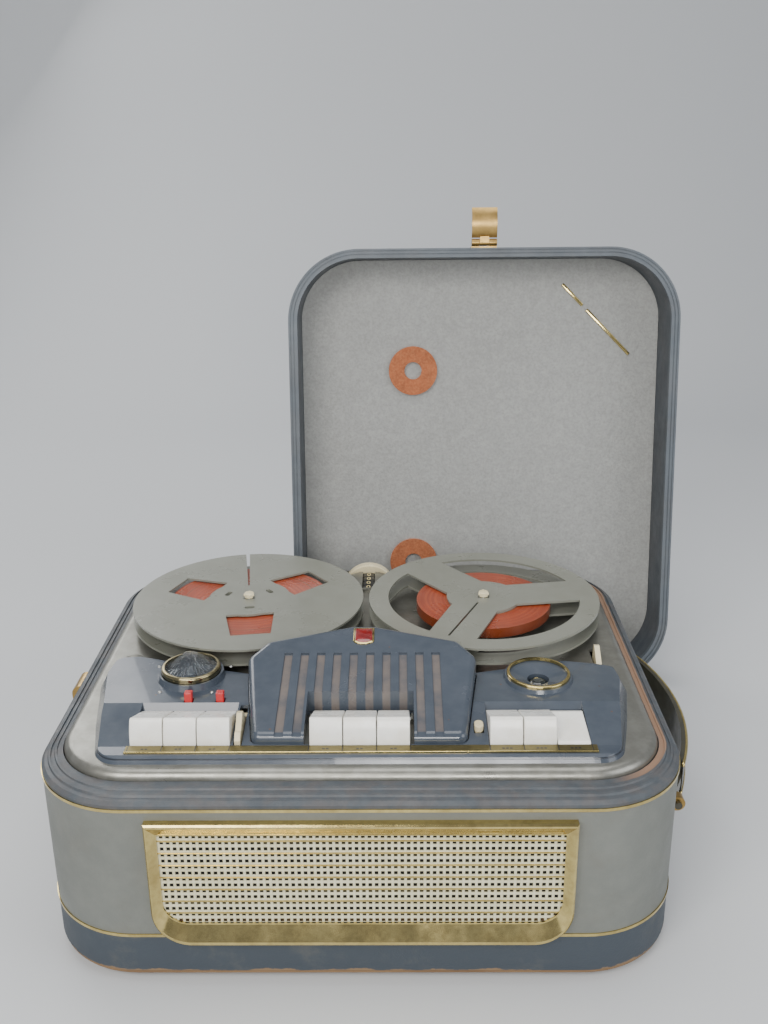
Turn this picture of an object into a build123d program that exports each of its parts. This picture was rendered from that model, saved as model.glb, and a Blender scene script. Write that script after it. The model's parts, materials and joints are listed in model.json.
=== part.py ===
"""Portable valve tape recorder in a suitcase case, with its lid stood behind it.

Frame: millimetres, +Z up, origin on the floor under the middle of the case.
-Y is the front (loudspeaker side), +X is the handle end.
"""
from build123d import *
import math
import os

# ---------------------------------------------------------------- driving sizes
CASE_W = 404.0            # along X
CASE_D = 346.0            # along Y
CASE_R = 63.0             # corner radius in plan
FOOT_H = 6.0
WALL = 9.0                # plywood
SKIN = 0.8                # leathercloth
BARE_EDGE = 2.5           # plywood left bare along the bottom
LOW_BEAD_Z = 36.0
HIGH_BEAD_Z = 126.6
BEAD_H = 2.0
BEAD_PROUD = 0.7
RIM_BASE_Z = HIGH_BEAD_Z + BEAD_H / 2
RIM_TOP_Z = 131.6

DECK_Z = 137.0            # top face of the deck plate
DECK_T = 2.0
DECK_X = 191.0            # half width
DECK_FRONT = -149.7
DECK_BACK = 162.0
DECK_R = 50.0

REEL_R = 89.0             # 7 inch reel
REEL_X = 91.3
REEL_Y = 60.0
REEL_LOW_Z = 144.7        # underside of the lower flange
FLANGE_T = 1.6
REEL_TOP_Z = 157.3
HUB_R = 28.0
SPINDLE_R = 3.6
SHAFT_R = 4.0
RUN_FIT = 0.06            # radial clearance of a shaft in its bearing

PANEL_FRONT = -140.5
PANEL_LOW_Z = 141.0       # panel surface at the label strip
PANEL_HIGH_Z = 147.0      # panel surface behind the keys
KEY_BACK = -83.3          # rear edge of the key recesses
STRIP_BACK = -126.6
STRIP_FRONT = -134.8

KEY_PITCH = 21.1
KEY_W = 20.5
KEY_GROUPS = {"left": -112.0, "centre": 0.5, "right": 113.0}
KEY_AXIS = (-92.0, 139.0)  # y, z of the key hinge line
KEY_REACH = 34.0
KEY_UP = 31.5             # degrees above the horizontal of a raised key's front edge
KEY_TRAVEL = 27.5         # degrees
PRESSED_KEY = "right_3"

COVER_FRONT = -124.5
COVER_TOP = (-28.0, 166.0)   # y, z of a point on the sloping top
COVER_SLOPE = 0.198
NOTCH_X = 34.6            # half width of the key notch in the head cover
NOTCH_Y = -83.0
RIB_PITCH = 11.2
RIB_W = 5.8
RIB_DEPTH = 1.3
RIB_BACK = -44.0

KNOB = (-118.0, -47.0)
KNOB_R = 20.2
EYE = (120.5, -51.0)
EYE_R = 21.6

PLATE_Z = 112.0           # underside of the mechanism plate
CAPSTAN = (30.0, -52.0)
MOTOR = (-75.0, 10.0)
FLYWHEEL_R = 42.0
PULLEY_R = 8.4
BELT_Z = (93.0, 97.0)

GRILLE_X = 2.0            # centre of the grille
GRILLE_LOW = 32.0
GRILLE_HIGH = 120.0
GRILLE_BORDER = 8.0
GRILLE_W = 256.0

COUNTER_Y = (115.0, 149.0)
COUNTER_R = 22.0
COUNTER_Z = DECK_Z - 13.5
DRUM_R = 15.7

HANDLE_Z = 84.0
HANDLE_AXIS_X = 207.2
HANDLE_Y = 104.0          # half distance between the brackets
HANDLE_BOW = 233.0

LID_W = 346.0
LID_L = 400.0
LID_R = 63.0
LID_DEPTH = 55.0
LID_WALL = 8.0
LID_LEAN = 9.2            # degrees
LID_FOOT = (102.0, 190.0, 6.2)   # middle of the lower rim edge as it stands


# ---------------------------------------------------------------- helpers
def slab(face, low, high):
    """Extrude a plan outline from low to high."""
    return Pos(0, 0, low) * extrude(face, high - low)


def box(x, y, z):
    """Box from three (low, high) pairs."""
    size = [b - a for a, b in (x, y, z)]
    mid = [(a + b) / 2 for a, b in (x, y, z)]
    return Pos(*mid) * Box(*size)


def rod(radius, centre, low, high):
    """Vertical cylinder."""
    return Pos(centre[0], centre[1], (low + high) / 2) * Cylinder(radius, high - low)


def rod_x(radius, y, z, low, high):
    return Pos((low + high) / 2, y, z) * Rot(0, 90, 0) * Cylinder(radius, high - low)


def rod_y(radius, x, z, low, high):
    return Pos(x, (low + high) / 2, z) * Rot(90, 0, 0) * Cylinder(radius, high - low)


def cone(r_low, r_high, centre, low, high):
    return Pos(centre[0], centre[1], (low + high) / 2) * Cone(r_low, r_high, high - low)


def side_prism(points, low, high):
    """Outline in Y and Z, extruded along X from low to high."""
    face = make_face(Polyline(*points, close=True))
    return Pos(low, 0, 0) * extrude(Plane.YZ * face, high - low)


def rounded(points):
    """Plan outline with a corner radius at each (x, y, radius)."""
    face = make_face(Polyline(*[(x, y) for x, y, radius in points], close=True))
    for x, y, radius in points:
        corner = face.vertices().sort_by_distance((x, y))[0]
        face = fillet(corner, radius)
    return face


def case_outline(inset):
    return RectangleRounded(CASE_W - 2 * inset, CASE_D - 2 * inset, CASE_R - inset)


def rim_outline(step):
    """Outline between the case wall (step 0) and the deck opening (step 1)."""
    inner_w = 2 * (DECK_X + 0.5)
    inner_d = DECK_BACK - DECK_FRONT + 1.0
    mid_y = step * (DECK_BACK + DECK_FRONT) / 2
    width = CASE_W + step * (inner_w - CASE_W)
    depth = CASE_D + step * (inner_d - CASE_D)
    return Pos(0, mid_y) * RectangleRounded(width, depth, CASE_R + step * (DECK_R - CASE_R))


def deck_outline(inset):
    width = 2 * (DECK_X - inset)
    depth = DECK_BACK - DECK_FRONT - 2 * inset
    return Pos(0, (DECK_BACK + DECK_FRONT) / 2) * RectangleRounded(width, depth, DECK_R - inset)


def save(name, shape):
    export_step(shape, "parts/" + name + ".step")


# ---------------------------------------------------------------- case
def grille_outline(inset):
    """Square corners at the top, round ones at the bottom; the border is widest below."""
    width = GRILLE_W - 2 * inset * 0.75
    low = GRILLE_LOW + inset * 1.6
    high = GRILLE_HIGH - inset * 1.2
    face = Pos(GRILLE_X, (low + high) / 2) * Rectangle(width, high - low)
    bottom = face.vertices().sort_by(Axis.Y)[:2]
    return fillet(bottom, 24.0 - inset)


def front_slab(face, y_back, y_front):
    """Outline in X and Z, between two planes across Y."""
    return Pos(0, y_back, 0) * extrude(Plane.XZ * face, y_back - y_front)


def case_shell():
    shell = slab(case_outline(SKIN), FOOT_H, RIM_BASE_Z - BEAD_H)
    shell -= slab(case_outline(SKIN + WALL), FOOT_H + 8.0, RIM_BASE_Z)
    for x in (-166.0, 166.0):
        for y in (-134.0, 134.0):
            shell += box((x - 10, x + 10), (y - 10, y + 10), (FOOT_H + 7.0, PLATE_Z))
    shell -= front_slab(grille_outline(GRILLE_BORDER), -CASE_D / 2 + 20, -CASE_D / 2 - 5)
    shell -= box((30, 150), (CASE_D / 2 - 20, CASE_D / 2 + 1), (52, 100))
    for x in range(-140, 30, 14):
        shell -= box((x, x + 6), (60, 130), (FOOT_H - 1, FOOT_H + 9))
    return shell


def rubber_feet():
    feet = [rod(9.0, (x, y), 0, FOOT_H) for x in (-150, 150) for y in (-125, 125)]
    return Compound(children=feet)


def case_covering():
    """Lower and middle leathercloth bands, parted by the lower bead."""
    bands = []
    half_bead = BEAD_H / 2
    spans = ((FOOT_H + BARE_EDGE, LOW_BEAD_Z - half_bead), (LOW_BEAD_Z + half_bead, HIGH_BEAD_Z - half_bead))
    for low, high in spans:
        band = slab(case_outline(0), low, high) - slab(case_outline(SKIN), low, high)
        band -= front_slab(grille_outline(GRILLE_BORDER), -CASE_D / 2 + 20, -CASE_D / 2 - 5)
        band -= box((30, 150), (CASE_D / 2 - 20, CASE_D / 2 + 1), (52, 100))
        bands.append(band.solids()[0])
    return Compound(children=bands)


def brass_beads():
    beads = []
    for z in (LOW_BEAD_Z, HIGH_BEAD_Z):
        depth = SKIN if z == LOW_BEAD_Z else 5.0
        ring = slab(case_outline(-BEAD_PROUD), z - BEAD_H / 2, z + BEAD_H / 2)
        ring -= slab(case_outline(depth), z - BEAD_H, z + BEAD_H)
        beads.append(ring)
    beads[0] -= front_slab(grille_outline(-0.3), -CASE_D / 2 + 20, -CASE_D / 2 - 5)
    return Compound(children=[bead.solids()[0] for bead in beads])


def rim_step(low, step_low, high, step_high):
    """Ring wall that closes in from one outline to the next."""
    lower = Pos(0, 0, low) * rim_outline(step_low)
    upper = Pos(0, 0, high) * rim_outline(step_high)
    return loft([lower, upper], ruled=True)


def rim_moulding():
    rim = slab(rim_outline(0), RIM_BASE_Z, RIM_TOP_Z - 1.8)
    rim += rim_step(RIM_TOP_Z - 1.8, 0, RIM_TOP_Z - 0.5, 0.14)
    rim += rim_step(RIM_TOP_Z - 0.5, 0.14, RIM_TOP_Z, 0.86)
    for outer, inner in ((0.30, 0.42), (0.60, 0.72)):
        ridge = rim_step(RIM_TOP_Z - 0.6, outer - 0.02, RIM_TOP_Z + 0.7, outer + 0.03)
        rim += ridge - slab(rim_outline(inner), RIM_TOP_Z - 2, RIM_TOP_Z + 2)
    return rim - slab(rim_outline(1), RIM_BASE_Z - 1, RIM_TOP_Z + 4)


def grille_frame():
    """Pressed frame: proud at its outer edge, sloping back to the lattice."""
    back = -CASE_D / 2
    frame = front_slab(grille_outline(0), back, back - 5.5)
    frame = chamfer(frame.faces().sort_by(Axis.Y)[0].edges(), 1.0)
    near = Pos(0, back - 5.6, 0) * (Plane.XZ * grille_outline(1.8))
    far = Pos(0, back - 1.0, 0) * (Plane.XZ * grille_outline(GRILLE_BORDER))
    frame -= loft([near, far], ruled=True)
    return frame - front_slab(grille_outline(GRILLE_BORDER + 0.6), back + 1, back - 8)


def grille_lattice():
    front = -CASE_D / 2
    panel = front_slab(grille_outline(GRILLE_BORDER + 0.2), front + 2.0, front)
    for z in range(50, 108, 8):
        panel -= box((-108, 112), (front - 1, front + 3), (z, z + 2.4))
    return panel


def loudspeaker():
    y_front = -CASE_D / 2 + SKIN + WALL
    frame = front_slab(Pos(GRILLE_X, 75) * Ellipse(88, 44), y_front + 3, y_front)
    basket_low = Pos(0, y_front + 3, 0) * (Plane.XZ * (Pos(GRILLE_X, 75) * Ellipse(80, 38)))
    basket_high = Pos(0, y_front + 28, 0) * (Plane.XZ * (Pos(GRILLE_X, 75) * Ellipse(26, 24)))
    basket = loft([basket_low, basket_high])
    magnet = rod_y(24.0, GRILLE_X, 75, y_front + 27, y_front + 52)
    hollow_low = Pos(0, y_front - 0.5, 0) * (Plane.XZ * (Pos(GRILLE_X, 75) * Ellipse(78, 36)))
    hollow_high = Pos(0, y_front + 22, 0) * (Plane.XZ * (Pos(GRILLE_X, 75) * Ellipse(14, 12)))
    return frame + basket + magnet - loft([hollow_low, hollow_high])


def handle_brackets():
    parts = []
    for side in (-1, 1):
        y = side * HANDLE_Y
        wall = CASE_W / 2
        plate = box((wall, wall + 1.6), (y - 9, y + 9), (HANDLE_Z - 15, HANDLE_Z + 15))
        lug = box((wall + 1.6, HANDLE_AXIS_X), (y - 3.5, y + 3.5), (HANDLE_Z - 5, HANDLE_Z + 5))
        lug += rod_y(5.0, HANDLE_AXIS_X, HANDLE_Z, y - 3.5, y + 3.5)
        lug -= rod_y(2.5 + RUN_FIT, HANDLE_AXIS_X, HANDLE_Z, y - 8, y + 8)
        parts.append((plate + lug).solids()[0])
    return Compound(children=parts)


def handle_strap():
    start = HANDLE_AXIS_X + 0.5
    half = HANDLE_Y - 5.0
    sag = HANDLE_BOW - start
    radius = (half ** 2 + sag ** 2) / (2 * sag)
    centre = (HANDLE_BOW - radius, 0)
    band = rod(radius, centre, HANDLE_Z - 12, HANDLE_Z + 12) - rod(radius - 4, centre, 0, 200)
    band &= box((start + 9, 300), (-half, half), (0, 200))
    neck = rod(radius - 0.5, centre, HANDLE_Z - 4, HANDLE_Z + 4) - rod(radius - 3.5, centre, 0, 200)
    neck &= box((start - 1, start + 10), (-half, half), (0, 200))
    strap = band + neck
    for side in (-1, 1):
        ends = sorted((side * (HANDLE_Y - 8.5), side * (HANDLE_Y + 6)))
        strap += rod_y(2.5, HANDLE_AXIS_X, HANDLE_Z, *ends)
    return strap


def latch_keeper():
    wall = -CASE_W / 2
    keeper = box((wall - 2, wall), (-14, 14), (96, 124))
    hook = box((wall - 13, wall - 2), (-11, 11), (104, 119))
    hook = fillet(hook.edges().filter_by(Axis.Y).sort_by(Axis.X)[:2], 6.0)
    return keeper + hook


def socket_panel():
    back = CASE_D / 2
    panel = box((30.2, 149.8), (back - 2.2, back - 0.2), (52.2, 99.8))
    for x in (46, 64, 82, 100):
        panel -= rod_y(4.0, x, 76, back - 5, back + 2)
    inlet = box((112, 140), (back - 16, back - 2.2), (64, 88))
    inlet -= box((115, 137), (back - 13, back + 1), (67, 85))
    panel -= box((115, 137), (back - 13, back + 1), (67, 85))
    panel += inlet
    for x in (121, 131):
        panel += rod_y(1.6, x, 76, back - 14, back - 4)
    return panel


# ---------------------------------------------------------------- deck
def key_cutout(centre, z_low, z_high):
    half = 1.5 * KEY_PITCH + 0.1
    return box((centre - half, centre + half), (STRIP_BACK, KEY_BACK), (z_low, z_high))


KEY_RODS = ((-146.0, -72.7), (-33.2, 34.2), (79.0, 147.0))


def deck_plate():
    deck = slab(deck_outline(0), DECK_Z - 9, DECK_Z)
    deck = fillet(deck.faces().sort_by(Axis.Z)[-1].edges(), 6.0)
    inside = slab(deck_outline(DECK_T), DECK_Z - 10, DECK_Z - DECK_T)
    inside = fillet(inside.faces().sort_by(Axis.Z)[-1].edges(), 4.5)
    deck -= inside
    for centre in KEY_GROUPS.values():
        deck -= key_cutout(centre, DECK_Z - 12, DECK_Z + 1)
    for side in (-1, 1):
        deck -= rod(SHAFT_R + RUN_FIT, (side * REEL_X, REEL_Y), DECK_Z - 9, DECK_Z + 1)
    deck -= rod(12.0, KNOB, DECK_Z - 9, DECK_Z + 1)
    deck -= rod(13.0, EYE, DECK_Z - 9, DECK_Z + 1)
    deck -= rod(5.0, CAPSTAN, DECK_Z - 9, DECK_Z + 1)
    deck -= cone(4.5, 7.5, (-169, -3), DECK_Z - 2.2, DECK_Z + 0.3)
    deck -= box((-78.7, -73.4), (-126, -86), (DECK_Z - 9, DECK_Z + 1))
    for x, y in BUTTON_SITES.values():
        deck -= rod(3.4, (x, y), DECK_Z - 9, DECK_Z + 1)
    deck -= box((165.5, 171.5), (-17, 9), (DECK_Z - 9, DECK_Z + 1))
    low, high = COUNTER_Y
    hump = rod_y(40.0, 0, DECK_Z - 36.5, low - 2, high)
    hump &= box((-30, 30), (low - 3, high + 1), (DECK_Z - 0.5, DECK_Z + 6))
    deck += hump
    deck -= rod_y(DRUM_R + 0.6, 0, COUNTER_Z, low, high)
    deck -= box((-5.2, 5.2), (low, high + 9.5), (DECK_Z - 9, DECK_Z + 6))
    deck -= box((-19.6, 19.6), (high, high + 9.5), (DECK_Z - 9, DECK_Z + 6))
    deck -= box((-18.5, 18.5), (low, high), (DECK_Z - 9, DECK_Z - 0.6))
    deck += rod(2.0, PINCH_PIVOT, DECK_Z - 0.5, DECK_Z + 9)
    y0, z0 = KEY_AXIS
    for low, high in KEY_RODS:
        for start in (low, high - 1.2):
            deck += box((start, start + 1.2), (y0 - 3.5, y0 + 3.5), (DECK_Z - 1, z0 + 2.5))
    for low, high in KEY_RODS:
        deck -= rod_x(1.5, y0, z0, low - 1, high + 1)
    return deck


def key_rods():
    y0, z0 = KEY_AXIS
    return Compound(children=[rod_x(1.5, y0, z0, low, high) for low, high in KEY_RODS])


def panel_outline():
    return rounded([
        (162, PANEL_FRONT, 18), (173, -95, 60), (181.5, -52, 30), (179, -32, 10), (162, -26, 10), (140, -22, 14),
        (112, -30, 14), (60, -44, 4), (-60, -44, 4), (-112, -30, 14), (-144, -18, 14), (-160, -13, 10),
        (-180, -15, 12), (-183, -42, 30), (-173, -95, 60), (-162, PANEL_FRONT, 18)])


def panel_block(inset, drop):
    """Wing block with sloping sides, cut to the wedge of the panel's surface."""
    outline = panel_outline()
    if inset:
        outline = offset(outline, -inset)
    block = Pos(0, 0, DECK_Z) * extrude(outline, 14.0, taper=28)
    front = PANEL_FRONT - 2
    profile = [
        (front, DECK_Z - 1),
        (front, PANEL_LOW_Z - 1.5 - drop),
        (-136.0, PANEL_LOW_Z - drop),
        (STRIP_BACK, PANEL_LOW_Z - drop),
        (KEY_BACK, PANEL_HIGH_Z - drop),
        (5.0, PANEL_HIGH_Z - drop),
        (5.0, DECK_Z - 1),
    ]
    return block & side_prism(profile, -190, 190)


def cover_outline(inset):
    front = (67.5 - inset, COVER_FRONT + inset, 6.0)
    waist = (78.5 - inset, -46, 10.0)
    shoulder = (66.5 - inset, -28.5 - inset, 9.0)
    back = (8, -11.5 - inset, 4.0)
    left = [(-x, y, radius) for x, y, radius in (back, shoulder, waist, front)]
    return rounded([front, waist, shoulder, back] + left)


def key_lip(centre):
    """Sloping rear wall of a key recess."""
    half = 1.5 * KEY_PITCH + 0.4
    top = PANEL_HIGH_Z
    points = [(KEY_BACK + 0.2, top), (KEY_BACK, top), (-86.2, 142.4), (-86.2, 140.0), (KEY_BACK + 0.2, 140.0)]
    return side_prism(points, centre - half, centre + half)


def control_panel():
    panel = panel_block(0, 0)
    for side, spot, radius, top in ((-1, KNOB, KNOB_R + 3.6, 151.4), (1, EYE, EYE_R + 3.0, 149.4)):
        panel += cone(radius, radius - 1.8, spot, PANEL_HIGH_Z - 2, top)
    shell = panel - panel_block(2.4, 2.4)
    for spot, radius in ((KNOB, KNOB_R - 1.0), (EYE, EYE_R + 0.4)):
        ring = rod(radius + 2.4, spot, DECK_Z, PANEL_HIGH_Z - 1)
        shell += ring
    shell -= rod(KNOB_R + 0.5, KNOB, 148.4, 160)
    shell -= rod(SHAFT_R + 0.4, KNOB, DECK_Z - 5, 160)
    bowl = cone(7.4, EYE_R + 0.2, EYE, 145.6, 149.5)
    shell += rod(13.0, EYE, DECK_Z, 147.0)
    shell -= bowl
    shell -= rod(7.4, EYE, DECK_Z - 5, 160)
    for centre in KEY_GROUPS.values():
        shell -= key_cutout(centre, DECK_Z - 5, 160)
    cover = slab(offset(cover_outline(0), 0.6), DECK_Z - 5, 170)
    bridge = box((-90, 90), (-140, COVER_FRONT - 0.6), (0, 200))
    shell -= cover - bridge
    for side in ("left", "right"):
        shell += key_lip(KEY_GROUPS[side])
    shell -= box((-78.7, -73.4), (STRIP_BACK + 1.0, -86), (DECK_Z - 5, 160))
    for name, (x, y) in BUTTON_SITES.items():
        reach = 4.7 if name == "record_button" else 3.1
        shell -= box((x - 3.2, x + 3.2), (y - reach, y + reach), (DECK_Z - 5, 160))
    for side in (-1, 1):
        shell -= rod(REEL_R + 1.6, (side * REEL_X, REEL_Y), REEL_LOW_Z - 1.2, 170)
    return shell


def label_strip():
    return box((-145.2, 147.6), (STRIP_FRONT, STRIP_BACK - 0.4), (PANEL_LOW_Z, PANEL_LOW_Z + 0.8))


def cover_wedge(drop):
    y_top, z_top = COVER_TOP
    back = -5.0
    front = COVER_FRONT - 1
    profile = [
        (back, DECK_Z + 0.2),
        (back, z_top + (back - y_top) * COVER_SLOPE - drop),
        (front, z_top + (front - y_top) * COVER_SLOPE - drop),
        (front, DECK_Z + 0.2),
    ]
    return side_prism(profile, -90, 90)


def head_cover():
    wedge = cover_wedge(0)
    body = slab(cover_outline(0), DECK_Z + 0.2, 180) & wedge
    body -= box((-NOTCH_X, NOTCH_X), (-140, NOTCH_Y), (DECK_Z, 180))
    rim = body.faces().sort_by(Axis.Z)[-1].edges()
    around_notch = [e for e in rim if abs(e.center().X) < NOTCH_X + 0.5 and -110 < e.center().Y < -60]
    body = fillet([e for e in rim if e not in around_notch], 5.0)
    hollow = slab(cover_outline(3.4), DECK_Z - 1, 180) & cover_wedge(3.6)
    hollow -= box((-NOTCH_X - 2.5, NOTCH_X + 2.5), (-140, NOTCH_Y + 2.5), (DECK_Z - 2, 180))
    body -= hollow
    angle = math.degrees(math.atan(COVER_SLOPE))
    y_top, z_top = COVER_TOP
    for index in range(10):
        x = (index - 4.5) * RIB_PITCH
        length = 120.0
        tool = Pos(0, -length / 2, 2.5 - RIB_DEPTH) * Box(RIB_W, length, 5.0)
        z_back = z_top + (RIB_BACK - y_top) * COVER_SLOPE
        body -= Pos(x, RIB_BACK, z_back) * Rot(angle, 0, 0) * tool
    for side in (-1, 1):
        gap = sorted((side * 60, side * 90))
        body -= box(gap, (-41.5, -40.0), (DECK_Z + 4, 163))
    return body


def key_rim(angle):
    """Point on the front face of a key, measured from its hinge line."""
    return (-KEY_REACH * math.cos(math.radians(angle)), KEY_REACH * math.sin(math.radians(angle)))


def piano_key(x, pressed):
    """Key hinged at the back; a pressed key is turned front down."""
    turn = KEY_TRAVEL if pressed else 0.0
    front = ThreePointArc(key_rim(KEY_UP + 2), key_rim(KEY_UP / 2), key_rim(-4))
    rest = Polyline(key_rim(-4), (4.0, -4.0), (5.0, 2.0), (2.0, 5.6), key_rim(KEY_UP + 2))
    face = make_face(front.edges() + rest.edges())
    face -= Circle(1.5 + RUN_FIT)
    key = extrude(Plane.YZ * face, KEY_W)
    key = fillet(key.edges().filter_by(Axis.X).sort_by(Axis.Z)[-1], 2.2)
    key = fillet([e for e in key.edges() if abs(e.center().X - KEY_W / 2) > KEY_W / 2 - 0.01
                  and e.center().Z > 0 and e.center().Y < -1], 0.8)
    y0, z0 = KEY_AXIS
    return Pos(x - KEY_W / 2, y0, z0) * Rot(turn, 0, 0) * key


def pause_lever():
    y0, z0 = KEY_AXIS
    points = [(-124.6, 138.0), (-124.8, 143.5), (-121.0, 147.5), (-118.4, 147.2), (-109.0, 154.6), (-105.0, 153.5),
              (-95.0, 143.0), (-88.0, 142.0), (-88.0, 136.0), (-95.0, 134.5)]
    lever = side_prism(points, -77.9, -74.3)
    return lever - rod_x(1.5 + RUN_FIT, y0, z0, -90, -60)


BUTTON_SITES = {
    "red_button_left": (-114.0, -80.2),
    "red_button_right": (-93.0, -80.2),
    "record_button": (75.6, -110.0),
}


def red_button(site):
    x, y = site
    cap = box((x - 2.6, x + 2.6), (y - 2.6, y + 2.6), (PANEL_HIGH_Z - 5, PANEL_HIGH_Z + 6.5))
    cap = fillet(cap.edges().filter_by(Axis.Z), 0.8)
    cap = fillet(cap.faces().sort_by(Axis.Z)[-1].edges(), 0.7)
    return cap + rod(2.4, site, 126, PANEL_HIGH_Z - 4)


def record_button(site):
    x, y = site
    cap = slab(Pos(x, y) * SlotOverall(8.6, 5.8, rotation=90), PANEL_LOW_Z + 2.0, PANEL_LOW_Z + 6.0)
    cap = fillet(cap.faces().sort_by(Axis.Z)[-1].edges(), 1.0)
    return cap + rod(2.6, site, 126, PANEL_LOW_Z + 4)


SELECTOR_AXIS = (-5.0, 128.0)   # y, z


def selector_lever():
    y0, z0 = SELECTOR_AXIS
    points = [(-17.0, 137.6), (-18.2, 139.0), (-5.5, 147.6), (-2.8, 147.0), (-1.0, 137.0),
              (y0 + 4, z0 - 4), (y0 - 4, z0 - 4), (y0 - 4, z0 + 7)]
    lever = side_prism(points, 166.6, 170.4)
    return lever - rod_x(1.5 + RUN_FIT, y0, z0, 150, 190)


def knob_dish():
    low = 148.8
    dish = rod(KNOB_R - 2.4, KNOB, low, 152.2)
    dish -= cone(6.0, KNOB_R - 3.6, KNOB, 150.6, 152.4)
    return dish + rod(SHAFT_R, KNOB, PLATE_Z, low + 1.5)


def knob_ring():
    ring = rod(KNOB_R, KNOB, 149.0, 155.5)
    ring = fillet(ring.faces().sort_by(Axis.Z)[-1].edges(), 1.6)
    return ring - rod(KNOB_R - 2.4, KNOB, 148, 160)


def knob_cone():
    outer = rod(KNOB_R - 2.6, KNOB, 152.3, 154.0) + cone(KNOB_R - 3.4, 5.2, KNOB, 154.0, 163.6)
    inner = cone(KNOB_R - 5.4, 3.4, KNOB, 152.0, 161.8)
    return outer - inner


def indicator_ring():
    ring = rod(EYE_R, EYE, 149.5, 151.4)
    ring = fillet(ring.faces().sort_by(Axis.Z)[-1].edges(), 0.9)
    return ring - rod(EYE_R - 2.0, EYE, 140, 160)


def indicator_tube():
    tube = rod(6.8, EYE, 96, 144.8)
    return fillet(tube.faces().sort_by(Axis.Z)[-1].edges(), 4.0)


def counter_drums():
    low, high = COUNTER_Y
    drums = []
    width = (high - low) / 4
    for index in range(4):
        start = low + 0.4 + index * width
        drum = rod_y(DRUM_R, 0, COUNTER_Z, start, start + width - 0.8)
        drum -= rod_y(2.0, 0, COUNTER_Z, low - 5, high + 5)
        drums.append(drum.solids()[0])
    return Compound(children=drums)


def counter_wheel():
    low, high = COUNTER_Y
    wheel = rod_y(COUNTER_R, 0, COUNTER_Z, high + 1.0, high + 8.5)
    wheel = chamfer(wheel.edges().filter_by(GeomType.CIRCLE), 0.8)
    return wheel + rod_y(2.0, 0, COUNTER_Z, low - 11, high + 1.0)


# ---------------------------------------------------------------- reels
def turntable(side):
    spot = (side * REEL_X, REEL_Y)
    table = rod(31.0, spot, DECK_Z + 1.5, REEL_LOW_Z) + rod(8.0, spot, DECK_Z + 0.3, DECK_Z + 1.5)
    table += rod(SHAFT_R, spot, PLATE_Z - 6, DECK_Z + 1)
    spindle = rod(SPINDLE_R, spot, REEL_LOW_Z, REEL_TOP_Z + 3.6)
    spindle = chamfer(spindle.faces().sort_by(Axis.Z)[-1].edges(), 0.7)
    for angle in (90, 210, 330):
        spline = Rot(0, 0, angle) * box((0, SPINDLE_R + 1.0), (-0.8, 0.8), (REEL_LOW_Z, REEL_TOP_Z + 2.0))
        spindle += Pos(spot[0], spot[1], 0) * spline
    return table + spindle


def reel_blank():
    """Two flanges on a hub, centred on the origin in plan."""
    reel = rod(REEL_R, (0, 0), REEL_LOW_Z, REEL_LOW_Z + FLANGE_T)
    reel += rod(REEL_R, (0, 0), REEL_TOP_Z - FLANGE_T, REEL_TOP_Z)
    reel += rod(HUB_R, (0, 0), REEL_LOW_Z, REEL_TOP_Z)
    reel -= rod(SPINDLE_R + 0.3, (0, 0), REEL_LOW_Z - 1, REEL_TOP_Z + 1)
    for angle in (90, 210, 330):
        reel -= Rot(0, 0, angle) * box((0, SPINDLE_R + 1.3), (-1.1, 1.1), (REEL_LOW_Z - 1, REEL_TOP_Z + 1))
    return reel


def left_reel():
    reel = reel_blank()
    low, high = REEL_LOW_Z - 1, REEL_TOP_Z + 1
    window = make_face(Polyline((30, -18.2), (65, -14.6), (65, 14.6), (30, 18.2), close=True))
    window -= Circle(31.5)
    for angle in (-82, 38, 158):
        reel -= Rot(0, 0, angle) * slab(window, low, high)
        reel -= Rot(0, 0, angle) * Pos(18.5, 0, 0) * slab(SlotOverall(8, 4, rotation=90), REEL_TOP_Z - 6, high)
    slit = make_face(Polyline((23, -0.6), (REEL_R + 2, -1.5), (REEL_R + 2, 1.5), (23, 0.6), close=True))
    reel -= Rot(0, 0, 98) * slab(slit, REEL_TOP_Z - FLANGE_T - 2, high)
    return Pos(-REEL_X, REEL_Y, 0) * reel


def right_reel():
    reel = reel_blank()
    low, high = REEL_LOW_Z - 1, REEL_TOP_Z + 1
    window = Circle(74.0) - Circle(28.5)
    for angle in (8, 128, 248):
        window -= Rot(0, 0, angle) * Pos(50, 0) * Rectangle(100, 36)
    reel -= slab(window, low, high)
    slit = Pos(43, 0) * Rectangle(62, 1.6)
    reel -= Rot(0, 0, -114) * slab(slit, REEL_TOP_Z - FLANGE_T - 2, high)
    return Pos(REEL_X, REEL_Y, 0) * reel


def tape_pack(side, radius):
    spot = (side * REEL_X, REEL_Y)
    pack = rod(radius, spot, REEL_LOW_Z + 2.4, REEL_TOP_Z - 2.6)
    return pack - rod(HUB_R + 0.05, spot, 100, 200)


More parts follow.
